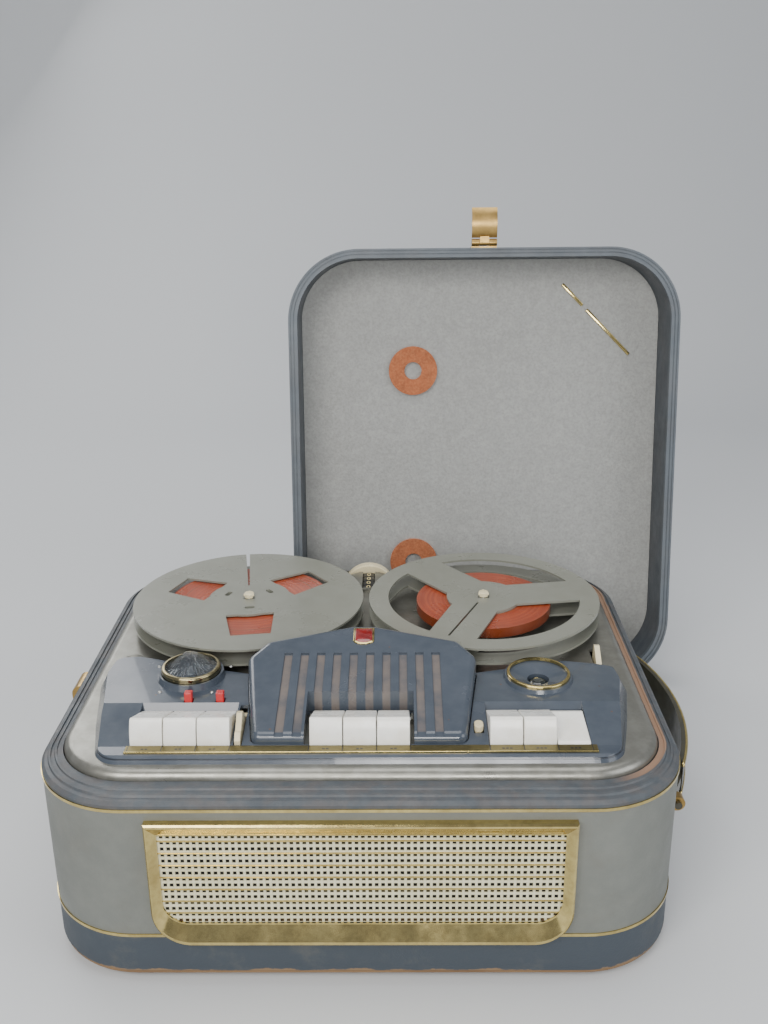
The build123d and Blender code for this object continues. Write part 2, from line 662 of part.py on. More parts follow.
# ---------------------------------------------------------------- mechanism
def mechanism_plate():
    plate = slab(Pos(0, 6) * RectangleRounded(352, 268, 14), PLATE_Z, PLATE_Z + 2)
    plate += box((-150, 60), (62, 64), (40, PLATE_Z))
    plate += box((-150, 60), (62, 130), (40, 42))
    low = COUNTER_Y[0]
    plate -= box((-24, 24), (low - 0.5, 145), (PLATE_Z - 1, DECK_Z))
    plate += box((-5, 5), (low - 10, low - 1), (PLATE_Z, COUNTER_Z + 5))
    plate -= rod_y(2.0 + RUN_FIT, 0, COUNTER_Z, low - 20, low + 5)
    y0, z0 = SELECTOR_AXIS
    plate += box((172, 174), (y0 - 5, y0 + 5), (PLATE_Z, z0 + 3)) + rod_x(1.5, y0, z0, 166, 173)
    plate += rod(8.0, KNOB, PLATE_Z, PLATE_Z + 14)
    plate -= rod(SHAFT_R + RUN_FIT, KNOB, PLATE_Z - 2, DECK_Z)
    for x, y in ((-160, -60), (160, -60), (-160, 118), (160, 118), (0, 92), (-50, -30), (56, 8)):
        plate += rod(4.5, (x, y), PLATE_Z, DECK_Z - DECK_T)
    for side in (-1, 1):
        plate += rod(9.0, (side * REEL_X, REEL_Y), PLATE_Z - 4, PLATE_Z + 12)
        plate -= rod(SHAFT_R + RUN_FIT, (side * REEL_X, REEL_Y), 90, DECK_Z)
    plate += rod(7.0, CAPSTAN, PLATE_Z - 4, PLATE_Z + 14)
    plate -= rod(2.6 + RUN_FIT, CAPSTAN, 90, DECK_Z)
    plate -= rod(14.0, EYE, 100, DECK_Z)
    plate -= rod(6.0, MOTOR, 100, DECK_Z)
    return plate


def motor():
    body = rod(34.0, MOTOR, 34, 86)
    body = fillet(body.edges().filter_by(GeomType.CIRCLE), 5.0)
    for angle in (30, 150, 270):
        x = MOTOR[0] + 37.0 * math.cos(math.radians(angle))
        y = MOTOR[1] + 37.0 * math.sin(math.radians(angle))
        body += rod(4.0, (x, y), 60, PLATE_Z)
    return body - rod(3.0 + RUN_FIT, MOTOR, 70, 100)


def motor_pulley():
    pulley = rod(PULLEY_R, MOTOR, 90, 100)
    pulley -= rod(PULLEY_R + 1, MOTOR, *BELT_Z) - rod(PULLEY_R - 1.4, MOTOR, *BELT_Z)
    return pulley + rod(3.0, MOTOR, 72, 90) + rod(3.0, MOTOR, 90, 104)


def flywheel():
    wheel = rod(FLYWHEEL_R, CAPSTAN, 88, 102)
    wheel -= rod(FLYWHEEL_R + 1, CAPSTAN, *BELT_Z) - rod(FLYWHEEL_R - 1.4, CAPSTAN, *BELT_Z)
    wheel -= rod(30.0, CAPSTAN, 97.5, 103) - rod(9.0, CAPSTAN, 97, 103)
    return wheel + rod(2.6, CAPSTAN, 84, 156.5)


def drive_belt():
    def loop(extra):
        big = Pos(*CAPSTAN) * Circle(FLYWHEEL_R - 1.4 + extra)
        small = Pos(*MOTOR) * Circle(PULLEY_R - 1.4 + extra)
        return make_hull(big.edges() + small.edges())
    low, high = BELT_Z
    return slab(loop(1.3), low + 0.4, high - 0.4) - slab(loop(0.3), low, high)


PINCH_PIVOT = (50.0, -66.0)
PINCH_SPOT = (41.6, -43.4)
PINCH_R = 9.0


def pinch_arm():
    arm = slab(Pos(*PINCH_PIVOT) * Circle(6.0), 139, 143)
    arm += slab(Pos(*PINCH_SPOT) * Circle(5.0), 139, 143)
    bar = make_hull((Pos(*PINCH_PIVOT) * Circle(6.0)).edges() + (Pos(*PINCH_SPOT) * Circle(5.0)).edges())
    arm += slab(bar, 139, 143)
    arm += rod(2.0, PINCH_SPOT, 143, 157)
    return arm - rod(2.0 + RUN_FIT, PINCH_PIVOT, 120, 150)


def pinch_roller():
    roller = rod(PINCH_R, PINCH_SPOT, 143.6, 156.0)
    return roller - rod(2.0 + RUN_FIT, PINCH_SPOT, 130, 160)


def tape_heads():
    heads = []
    for x in (-38.0, -8.0):
        head = box((x - 8, x + 8), (-58, -46), (DECK_Z, 155.5))
        head += rod(8.0, (x, -46), 143, 155.5)
        heads.append(fillet(head.edges().filter_by(Axis.Z).sort_by(Axis.Y)[:2], 1.5).solids()[0])
    return Compound(children=heads)


def valves():
    tubes = []
    for x in (-130, -98, -66, -34, 0):
        valve = rod(10.5, (x, 98), 50, 98) + rod(12.0, (x, 98), 42, 50)
        tip = Pos(x, 98, 98) * Sphere(10.5)
        tubes.append((valve + (tip & box((x - 12, x + 12), (80, 120), (90, 108)))).solids()[0])
    return Compound(children=tubes)


def mains_transformer():
    core = box((98, 168), (74, 118), (FOOT_H + 8, FOOT_H + 68))
    coil = box((112, 154), (62, 130), (FOOT_H + 18, FOOT_H + 58))
    return core + fillet(coil.edges().filter_by(Axis.Z), 6.0)


# ---------------------------------------------------------------- lid
def stand(shape):
    """Turn a lid part from lying on its back to leaning behind the case."""
    return Pos(*LID_FOOT) * Rot(90 - LID_LEAN, 0, 0) * shape


def lid_outline(inset):
    return Pos(0, LID_L / 2) * RectangleRounded(LID_W - 2 * inset, LID_L - 2 * inset, LID_R - inset)


def lid_shell():
    shell = slab(lid_outline(0), -LID_DEPTH, -5.0)
    shell = fillet(shell.faces().sort_by(Axis.Z)[0].edges(), 18.0)
    return stand(shell - slab(lid_outline(LID_WALL), -LID_DEPTH + 5.0, 1))


def lid_rim():
    rim = slab(lid_outline(0), -5.0, 0) - slab(lid_outline(LID_WALL), -6, 1)
    for inset in (1.6, 4.4):
        groove = slab(lid_outline(inset), -0.8, 1) - slab(lid_outline(inset + 1.0), -1, 2)
        rim -= groove
    return stand(rim)


def lid_lining():
    return stand(slab(lid_outline(LID_WALL + 0.2), -LID_DEPTH + 5.0, -LID_DEPTH + 6.5))


def lid_reel_pads():
    low = -LID_DEPTH + 6.5
    pads = []
    for side in (-1, 1):
        spot = (-REEL_Y - 2.0, LID_L / 2 + side * REEL_X)
        pad = rod(22.5, spot, low, low + 4.0) - rod(8.0, spot, low - 1, low + 5.0)
        pads.append(stand(pad).solids()[0])
    return Compound(children=pads)


LATCH_V = LID_L + 4.6
LATCH_W = -3.4


def latch_hinge():
    plate = box((-11, 11), (LID_L, LID_L + 1.4), (-30, -LATCH_W - 8.5))
    plate += box((-11, 11), (LID_L, LATCH_V), (LATCH_W - 5.0, LATCH_W - 2.6))
    for low, high in ((-11.0, -4.3), (4.3, 11.0)):
        plate += rod_x(3.0, LATCH_V, LATCH_W, low, high)
        plate += box((low, high), (LATCH_V - 3.0, LATCH_V), (LATCH_W - 3.4, LATCH_W))
    plate -= box((-4.3, 4.3), (LID_L + 1.4, LATCH_V + 4), (LATCH_W - 6, LATCH_W + 4))
    plate += rod_x(1.3, LATCH_V, LATCH_W, -10, 10)
    return stand(plate)


def latch_hasp():
    low = LATCH_V + 4.0
    high = LID_L + 34.0
    hasp = rod_x(3.0, LATCH_V, LATCH_W, -4.0, 4.0)
    hasp += box((-4, 4), (LATCH_V, low + 1), (LATCH_W + 1.2, LATCH_W + 3.0))
    bend = (high - low) / 2
    mid = (high + low) / 2
    radius = 22.0
    drop = math.sqrt(radius ** 2 - bend ** 2)
    arch = rod_x(radius, mid, LATCH_W + 1.2 - drop, -11, 11)
    arch -= rod_x(radius - 1.8, mid, LATCH_W + 1.2 - drop, -12, 12)
    arch &= box((-11, 11), (low, high), (LATCH_W - 1, LATCH_W + 30))
    hasp += arch
    return stand(hasp - rod_x(1.3 + RUN_FIT, LATCH_V, LATCH_W, -12, 12))


# ---------------------------------------------------------------- write out
def build():
    os.makedirs("parts", exist_ok=True)
    for maker in (case_shell, rubber_feet, case_covering, brass_beads, key_rods, rim_moulding,
                  grille_frame, grille_lattice, loudspeaker, handle_brackets, handle_strap, latch_keeper,
                  socket_panel, deck_plate, control_panel,
                  label_strip, head_cover, pause_lever, selector_lever, knob_dish, knob_ring, knob_cone,
                  indicator_ring, indicator_tube, counter_drums, counter_wheel, left_reel, right_reel,
                  mechanism_plate, motor, motor_pulley, flywheel, drive_belt, pinch_arm, pinch_roller,
                  tape_heads, valves, mains_transformer, lid_shell, lid_rim, lid_lining, lid_reel_pads,
                  latch_hinge, latch_hasp):
        save(maker.__name__, maker())
    for group, centre in KEY_GROUPS.items():
        for number in (1, 2, 3):
            name = group + "_" + str(number)
            save("key_" + name, piano_key(centre + (number - 2) * KEY_PITCH, name == PRESSED_KEY))
    for name, site in BUTTON_SITES.items():
        save(name, record_button(site) if name == "record_button" else red_button(site))
    for name, side, radius in (("left", -1, 63.0), ("right", 1, 52.0)):
        save(name + "_turntable", turntable(side))
        save(name + "_tape_pack", tape_pack(side, radius))


build()
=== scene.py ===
"""Looks of the portable tape recorder: materials, small trim, light and camera.

Lengths are in metres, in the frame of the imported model: +Z up, -Y the loudspeaker side.
"""

import json
import math

import bmesh
import bpy
from mathutils import Matrix, Vector


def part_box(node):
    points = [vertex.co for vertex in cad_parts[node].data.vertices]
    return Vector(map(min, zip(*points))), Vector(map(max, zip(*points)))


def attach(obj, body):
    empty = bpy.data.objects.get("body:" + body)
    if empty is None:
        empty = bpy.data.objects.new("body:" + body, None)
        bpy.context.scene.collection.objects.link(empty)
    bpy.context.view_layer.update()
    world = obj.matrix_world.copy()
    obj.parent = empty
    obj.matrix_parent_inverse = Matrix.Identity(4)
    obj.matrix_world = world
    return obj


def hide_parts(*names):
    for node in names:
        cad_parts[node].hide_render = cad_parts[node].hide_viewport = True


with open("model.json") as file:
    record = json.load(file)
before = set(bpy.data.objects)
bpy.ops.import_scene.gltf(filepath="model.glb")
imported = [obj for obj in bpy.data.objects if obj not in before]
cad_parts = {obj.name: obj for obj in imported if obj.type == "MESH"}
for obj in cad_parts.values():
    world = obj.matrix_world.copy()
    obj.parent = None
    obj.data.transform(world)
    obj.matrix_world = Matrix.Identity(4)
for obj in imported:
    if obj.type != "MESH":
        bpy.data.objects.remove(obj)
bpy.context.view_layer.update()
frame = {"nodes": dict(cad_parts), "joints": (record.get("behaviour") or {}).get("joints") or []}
NODES = frame["nodes"]
MM = 0.001

# ------------------------------------------------------------------ places, from the frame
JOINTS = {joint["name"]: joint for joint in frame["joints"]}
CASE_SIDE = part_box("case_covering")[1].x
SUPPLY = Vector(JOINTS["supply_reel_spin"]["pos_m"])
TAKE_UP = Vector(JOINTS["take_up_reel_spin"]["pos_m"])
KNOB = Vector(JOINTS["volume_turn"]["pos_m"])
COUNTER = Vector(JOINTS["counter_spin"]["pos_m"])
LID_LEAN = math.radians(9.2)
LID_FOOT = Vector((0.102, 0.190, 0.0062))
LID_DEPTH = 0.055
LID_LINING = LID_DEPTH - 6.5 * MM    # depth of the lining's face behind the lid's rim
COVER_SLOPE = 0.198
COVER_TOP = Vector((0.0, -0.028, 0.166))
PANEL_TOP = 146.9 * MM
REEL_TOP = 157.5 * MM
PAPER_RISE = 0.6                     # radius of the backdrop's curve
PAPER_BACK = 1.1                     # where the floor starts to rise


def srgb(red, green, blue):
    """Linear colour from 0 to 255 display values."""
    def linear(value):
        value = value / 255
        return value / 12.92 if value <= 0.04045 else ((value + 0.055) / 1.055) ** 2.4
    return (linear(red), linear(green), linear(blue), 1.0)


# ------------------------------------------------------------------ material building
class Shade:
    """A node material being built around one Principled shader."""

    def __init__(self, name, colour, rough=0.5, metal=0.0, coat=0.0):
        self.mat = bpy.data.materials.new(name)
        self.mat.use_nodes = True
        self.tree = self.mat.node_tree
        self.shader = self.tree.nodes["Principled BSDF"]
        self.shader.inputs["Base Color"].default_value = colour
        self.shader.inputs["Roughness"].default_value = rough
        self.shader.inputs["Metallic"].default_value = metal
        self.shader.inputs["Coat Weight"].default_value = coat
        self.colour = colour
        self.height = None
        self.coords = self.tree.nodes.new("ShaderNodeTexCoord").outputs["Object"]

    def join(self, value, socket):
        if isinstance(value, (int, float)):
            socket.default_value = value
        elif isinstance(value, tuple):
            socket.default_value = value if len(value) == len(socket.default_value) else value[:3]
        else:
            self.tree.links.new(value, socket)

    def math(self, operation, first, second=0.0, clamp=False):
        node = self.tree.nodes.new("ShaderNodeMath")
        node.operation = operation
        node.use_clamp = clamp
        self.join(first, node.inputs[0])
        self.join(second, node.inputs[1])
        return node.outputs[0]

    def vector(self, operation, first, second=(0.0, 0.0, 0.0)):
        node = self.tree.nodes.new("ShaderNodeVectorMath")
        node.operation = operation
        self.join(first, node.inputs[0])
        self.join(second, node.inputs[1])
        return node.outputs["Value"] if operation == "LENGTH" else node.outputs["Vector"]

    def axis(self, name, source=None):
        node = self.tree.nodes.new("ShaderNodeSeparateXYZ")
        self.join(source or self.coords, node.inputs[0])
        return node.outputs[name]

    def noise(self, scale, detail=3.0, rough=0.5, stretch=(1.0, 1.0, 1.0)):
        node = self.tree.nodes.new("ShaderNodeTexNoise")
        self.join(self.vector("MULTIPLY", self.coords, stretch), node.inputs["Vector"])
        node.inputs["Scale"].default_value = scale
        node.inputs["Detail"].default_value = detail
        node.inputs["Roughness"].default_value = rough
        return node.outputs[0]

    def cells(self, scale, output="Distance", feature="F1"):
        node = self.tree.nodes.new("ShaderNodeTexVoronoi")
        node.feature = feature
        self.join(self.coords, node.inputs["Vector"])
        node.inputs["Scale"].default_value = scale
        return node.outputs[output]

    def ramp(self, value, low, high):
        """0 below low, 1 above high, smooth between."""
        node = self.tree.nodes.new("ShaderNodeMapRange")
        node.interpolation_type = "SMOOTHSTEP"
        self.join(value, node.inputs["Value"])
        node.inputs["From Min"].default_value = low
        node.inputs["From Max"].default_value = high
        return node.outputs["Result"]

    def band(self, value, low, high, soft):
        """1 between low and high, fading over soft."""
        rise = self.ramp(value, low - soft, low + soft)
        fall = self.ramp(value, high - soft, high + soft)
        return self.math("SUBTRACT", rise, fall, clamp=True)

    def blend(self, amount, colour):
        """Mix another colour over the present one."""
        node = self.tree.nodes.new("ShaderNodeMix")
        node.data_type = "RGBA"
        self.join(amount, node.inputs[0])
        self.join(self.colour, node.inputs[6])
        self.join(colour, node.inputs[7])
        self.colour = node.outputs[2]
        self.tree.links.new(self.colour, self.shader.inputs["Base Color"])
        return self

    def mottle(self, scale, colour, amount=0.5, detail=4.0, stretch=(1.0, 1.0, 1.0)):
        patches = self.ramp(self.noise(scale, detail, 0.6, stretch), 0.35, 0.7)
        return self.blend(self.math("MULTIPLY", patches, amount), colour)

    def roughness(self, scale, low, high):
        node = self.tree.nodes.new("ShaderNodeMapRange")
        self.join(self.noise(scale, 5.0, 0.6), node.inputs["Value"])
        node.inputs["From Min"].default_value = 0.3
        node.inputs["From Max"].default_value = 0.7
        node.inputs["To Min"].default_value = low
        node.inputs["To Max"].default_value = high
        self.tree.links.new(node.outputs["Result"], self.shader.inputs["Roughness"])
        return self

    def bump(self, height, distance, strength=1.0):
        """Add relief on top of what is there."""
        node = self.tree.nodes.new("ShaderNodeBump")
        node.inputs["Distance"].default_value = distance
        node.inputs["Strength"].default_value = strength
        self.join(height, node.inputs["Height"])
        if self.height is not None:
            self.tree.links.new(self.height, node.inputs["Normal"])
        self.height = node.outputs[0]
        self.tree.links.new(self.height, self.shader.inputs["Normal"])
        return self

    def outline(self, centre, half, radius):
        """Signed distance in plan from a rounded rectangle, positive outside."""
        flat = self.vector("MULTIPLY", self.coords, (1.0, 1.0, 0.0))
        place = self.vector("SUBTRACT", flat, (centre[0], centre[1], 0.0))
        reach = self.vector("SUBTRACT", self.vector("ABSOLUTE", place),
                            (half[0] - radius, half[1] - radius, 0.0))
        outer = self.vector("LENGTH", self.vector("MAXIMUM", reach))
        larger = self.math("MAXIMUM", self.axis("X", reach), self.axis("Y", reach))
        inner = self.math("MINIMUM", larger, 0.0)
        return self.math("SUBTRACT", self.math("ADD", outer, inner), radius)


def leather_grain(shade, size, depth):
    """Pebbled leathercloth: creased cells with finer noise."""
    cells = shade.cells(1.0 / size, feature="SMOOTH_F1")
    shade.bump(cells, depth, 0.6)
    return shade.bump(shade.noise(2.5 / size, 4.0, 0.7), depth * 0.6, 0.5)


def covering_cloth():
    shade = Shade("covering_cloth", srgb(112, 115, 110), 0.5)
    shade.mottle(9.0, srgb(102, 104, 98), 0.5)
    shade.mottle(70.0, srgb(124, 126, 119), 0.35)
    height = shade.axis("Z")
    lower = shade.ramp(height, 0.0358, 0.0362)
    shade.blend(shade.math("SUBTRACT", 1.0, lower), srgb(58, 66, 74))
    grime = shade.math("MULTIPLY", shade.ramp(shade.noise(24.0, 6.0, 0.7), 0.5, 0.72), 0.35)
    shade.blend(grime, srgb(104, 101, 92))
    edge = shade.math("SUBTRACT", 0.0125, height)
    worn = shade.math("ADD", edge, shade.math("MULTIPLY", shade.noise(38.0, 5.0, 0.65), 0.011))
    shade.blend(shade.ramp(worn, 0.0086, 0.0096), srgb(128, 104, 76))
    leather_grain(shade, 0.0013, 0.00022)
    return shade.roughness(30.0, 0.45, 0.65).mat


def plywood():
    shade = Shade("plywood", srgb(138, 110, 78), 0.6)
    plies = shade.math("SINE", shade.math("MULTIPLY", shade.axis("Z"), 5200.0))
    shade.blend(shade.math("MULTIPLY", shade.ramp(plies, -0.3, 0.5), 0.5), srgb(96, 72, 48))
    shade.mottle(40.0, srgb(92, 66, 42), 0.6, stretch=(0.3, 0.3, 3.0))
    shade.bump(shade.noise(300.0, 4.0, 0.7, (0.4, 0.4, 3.0)), 0.0003, 0.6)
    return shade.roughness(60.0, 0.5, 0.75).mat


def brass(name, colour, tarnish, rough=(0.18, 0.38)):
    shade = Shade(name, colour, rough[0], 1.0)
    shade.mottle(35.0, tarnish, 0.35)
    shade.mottle(260.0, tarnish, 0.25)
    shade.bump(shade.noise(160.0, 5.0, 0.6), 0.00015, 0.25)
    return shade.roughness(50.0, *rough).mat


def rim_cloth(name, centre, half, radius, wear_side):
    """Ridged moulding, rubbed through to tan along its inner groove."""
    shade = Shade(name, srgb(72, 78, 83), 0.5)
    shade.mottle(26.0, srgb(58, 64, 70), 0.6)
    shade.mottle(150.0, srgb(88, 94, 98), 0.35)
    gap = shade.outline(centre, half, radius)
    ragged = shade.math("ADD", gap, shade.math("MULTIPLY", shade.noise(60.0, 4.0, 0.6), 0.0022))
    groove = shade.band(ragged, 0.0012, 0.0056, 0.0004)
    side = shade.ramp(shade.axis("X"), wear_side[0], wear_side[1])
    patch = shade.ramp(shade.noise(16.0, 3.0, 0.5), 0.30, 0.40)
    worn = shade.math("MULTIPLY", shade.math("MULTIPLY", groove, side), patch)
    shade.blend(shade.math("MULTIPLY", worn, 0.8), srgb(152, 118, 92))
    shade.mottle(90.0, srgb(122, 98, 76), 0.16)
    leather_grain(shade, 0.0012, 0.00018)
    return shade.roughness(40.0, 0.38, 0.6).mat


def deck_paint():
    shade = Shade("deck_paint", srgb(142, 141, 133), 0.3, 0.75)
    shade.mottle(14.0, srgb(126, 124, 114), 0.6)
    shade.mottle(120.0, srgb(172, 171, 163), 0.35)
    dirt = shade.ramp(shade.noise(33.0, 6.0, 0.75), 0.58, 0.75)
    shade.blend(shade.math("MULTIPLY", dirt, 0.3), srgb(112, 102, 84))
    shade.bump(shade.noise(900.0, 3.0, 0.6), 0.00008, 0.35)
    shade.bump(shade.noise(420.0, 2.0, 0.5, (0.08, 1.0, 1.0)), 0.00006, 0.25)
    return shade.roughness(45.0, 0.26, 0.42).mat


def specks(shade, scale, share, size, colour):
    """Sparse round spots, such as rust stains."""
    spot = shade.math("SUBTRACT", 1.0, shade.ramp(shade.cells(scale), size * 0.6, size))
    chosen = shade.axis("X", shade.cells(scale, "Color"))
    keep = shade.math("LESS_THAN", chosen, share)
    return shade.blend(shade.math("MULTIPLY", spot, keep), colour)


def blue_plastic():
    """Glossy moulded blue-grey, with painted shade along its narrow step and a few rust specks."""
    shade = Shade("blue_plastic", srgb(68, 76, 86), 0.2, 0.0, 0.35)
    shade.mottle(18.0, srgb(60, 67, 77), 0.6)
    shade.mottle(90.0, srgb(86, 92, 100), 0.3)
    # painted shade: the narrow step face at 139.2 to 140 mm is darkened, and bumped in as a groove
    step_shade = shade.band(shade.axis("Z"), 0.1392, 0.1400, 0.00015)
    shade.blend(step_shade, srgb(44, 49, 57))
    specks(shade, 75.0, 0.07, 0.12, srgb(74, 58, 52))
    specks(shade, 160.0, 0.05, 0.15, srgb(92, 74, 66))
    shade.bump(shade.math("SUBTRACT", 1.0, step_shade), 0.0005, 0.8)
    shade.bump(shade.noise(500.0, 3.0, 0.5), 0.00006, 0.2)
    return shade.roughness(28.0, 0.14, 0.3)


def cover_plastic():
    """The same plastic, with brown dust settled between the ribs."""
    shade = blue_plastic()
    shade.mat.name = "cover_plastic"
    pitch = 0.0112
    phase = shade.math("FRACT", shade.math("ADD", shade.math("DIVIDE", shade.axis("X"), pitch), 20.0))
    off_centre = shade.math("ABSOLUTE", shade.math("SUBTRACT", phase, 0.5))
    strip = shade.math("SUBTRACT", 1.0, shade.ramp(off_centre, 0.20, 0.262))
    along = shade.band(shade.axis("Y"), -0.1195, -0.0450, 0.0006)
    across = shade.band(shade.axis("X"), -0.0565, 0.0565, 0.0002)
    dust = shade.math("MULTIPLY", shade.math("MULTIPLY", strip, along), across)
    patchy = shade.math("MULTIPLY", dust, shade.ramp(shade.noise(45.0, 5.0, 0.6), 0.1, 0.75))
    shade.blend(patchy, srgb(116, 106, 99))
    return shade.mat


def moulded(name, colour, stain, rough=(0.2, 0.35), coat=0.2, dots=0.04):
    shade = Shade(name, colour, rough[0], 0.0, coat)
    shade.mottle(60.0, stain, 0.22)
    specks(shade, 170.0, dots, 0.14, stain)
    shade.bump(shade.noise(420.0, 3.0, 0.5), 0.00005, 0.3)
    return shade.roughness(55.0, *rough).mat


def clear_plastic():
    shade = Shade("clear_plastic", srgb(232, 236, 238), 0.06)
    shade.shader.inputs["Transmission Weight"].default_value = 1.0
    shade.shader.inputs["IOR"].default_value = 1.49
    place = shade.vector("SUBTRACT", shade.coords, tuple(KNOB))
    angle = shade.math("ARCTAN2", shade.axis("Y", place), shade.axis("X", place))
    flutes = shade.math("SINE", shade.math("MULTIPLY", angle, 36.0))
    shade.bump(flutes, 0.00025, 0.7)
    shade.bump(shade.noise(600.0, 4.0, 0.6), 0.00005, 0.4)
    return shade.roughness(200.0, 0.04, 0.16).mat


def dark_glass(name, colour):
    shade = Shade(name, colour, 0.05, 0.0, 1.0)
    shade.mottle(60.0, srgb(60, 70, 66), 0.4)
    return shade.roughness(80.0, 0.03, 0.10).mat


def reel_plastic():
    shade = Shade("reel_plastic", srgb(128, 129, 118), 0.3, 0.0, 0.15)
    shade.mottle(11.0, srgb(116, 117, 106), 0.6)
    shade.mottle(60.0, srgb(138, 139, 129), 0.3)
    specks(shade, 120.0, 0.03, 0.10, srgb(118, 112, 98))
    shade.bump(shade.noise(350.0, 4.0, 0.6), 0.00005, 0.4)
    return shade.roughness(24.0, 0.22, 0.40).mat


def tape_winds(name, centre):
    """Brown tape on edge: fine rings of slightly different shades."""
    shade = Shade(name, srgb(150, 58, 30), 0.32, 0.0, 0.2)
    place = shade.vector("MULTIPLY", shade.vector("SUBTRACT", shade.coords, tuple(centre)), (1.0, 1.0, 0.0))
    radius = shade.vector("LENGTH", place)
    node = shade.tree.nodes.new("ShaderNodeTexNoise")
    node.noise_dimensions = "1D"
    shade.join(radius, node.inputs["W"])
    node.inputs["Scale"].default_value = 260.0
    node.inputs["Detail"].default_value = 5.0
    bands = node.outputs[0]
    shade.blend(shade.ramp(bands, 0.42, 0.62), srgb(176, 82, 46))
    shade.blend(shade.math("MULTIPLY", shade.ramp(bands, 0.60, 0.75), 0.8), srgb(92, 44, 24))
    shade.mottle(25.0, srgb(120, 52, 28), 0.4)
    lines = shade.math("SINE", shade.math("MULTIPLY", radius, 16000.0))
    shade.bump(lines, 0.00006, 0.6)
    return shade.roughness(30.0, 0.22, 0.4).mat


def lid_lining_cloth():
    shade = Shade("lid_lining_cloth", srgb(160, 161, 158), 0.75)
    shade.mottle(7.0, srgb(148, 148, 144), 0.6)
    shade.mottle(140.0, srgb(176, 176, 172), 0.4)
    shade.mottle(420.0, srgb(132, 132, 128), 0.45)
    specks(shade, 60.0, 0.03, 0.08, srgb(118, 104, 88))
    return leather_grain(shade, 0.0014, 0.0003).mat


def lid_cloth(name, colour, shadow):
    shade = Shade(name, colour, 0.55)
    shade.mottle(12.0, shadow, 0.6)
    shade.mottle(110.0, srgb(104, 110, 114), 0.3)
    shade.mottle(30.0, srgb(104, 88, 70), 0.12)
    leather_grain(shade, 0.0012, 0.0002)
    return shade.roughness(40.0, 0.42, 0.62).mat


def felt():
    shade = Shade("pad_felt", srgb(172, 98, 60), 0.95)
    shade.shader.inputs["Sheen Weight"].default_value = 0.4
    shade.mottle(120.0, srgb(128, 72, 44), 0.6)
    shade.mottle(500.0, srgb(198, 128, 86), 0.5)
    shade.bump(shade.noise(700.0, 6.0, 0.8), 0.0006, 0.9)
    return shade.mat


def steel(name, colour, rough=(0.25, 0.45)):
    shade = Shade(name, colour, rough[0], 1.0)
    shade.mottle(40.0, srgb(110, 106, 98), 0.35)
    shade.bump(shade.noise(600.0, 3.0, 0.5, (0.1, 1.0, 1.0)), 0.00006, 0.35)
    return shade.roughness(60.0, *rough).mat


def speaker_cloth():
    shade = Shade("speaker_cloth", srgb(22, 21, 18), 0.9)
    warp = shade.math("SINE", shade.math("MULTIPLY", shade.axis("X"), 7000.0))
    weft = shade.math("SINE", shade.math("MULTIPLY", shade.axis("Z"), 7000.0))
    weave = shade.math("MULTIPLY", warp, weft)
    shade.blend(shade.math("MULTIPLY", shade.ramp(weave, -0.2, 0.6), 0.5), srgb(44, 40, 32))
    return shade.bump(weave, 0.0003, 0.8).mat


def rubber(name):
    shade = Shade(name, srgb(34, 34, 33), 0.8)
    shade.mottle(80.0, srgb(52, 50, 46), 0.5)
    shade.bump(shade.noise(700.0, 4.0, 0.6), 0.0001, 0.5)
    return shade.roughness(90.0, 0.65, 0.9).mat


